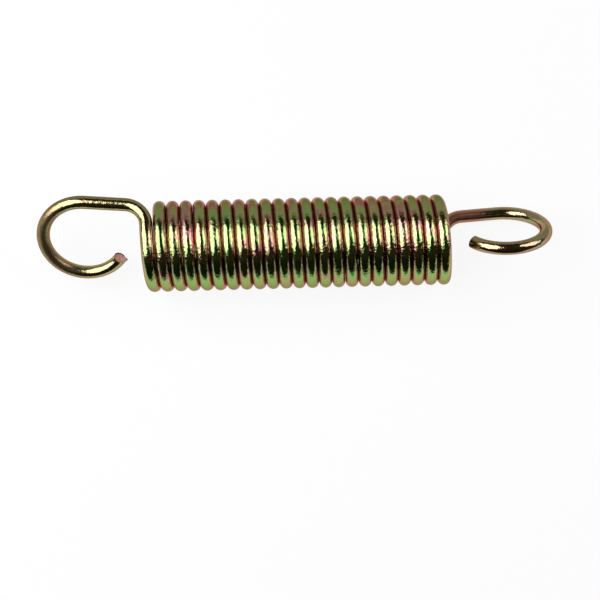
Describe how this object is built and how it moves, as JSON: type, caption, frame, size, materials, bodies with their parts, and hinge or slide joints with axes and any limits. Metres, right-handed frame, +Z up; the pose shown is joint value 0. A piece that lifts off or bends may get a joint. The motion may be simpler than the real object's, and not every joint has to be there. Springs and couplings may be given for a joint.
{
  "type": "extension spring",
  "caption": "Close-wound extension spring bent from round wire, with an open hook at each end, zinc plated with a yellow chromate finish.",
  "frame": {"origin": "middle of the spring's length, under the axis of the coil, on the surface that the spring lies on", "axes": "+X along the axis of the coil, from the left hook to the right hook; +Z up from the surface; +Y away from the camera side"},
  "size_m": [0.1618, 0.0291, 0.0285],
  "materials": {
    "plated_wire": "bright zinc plate with a yellow iridescent chromate"
  },
  "bodies": {
    "root": {"spring": "plated_wire"}
  },
  "joints": []
}
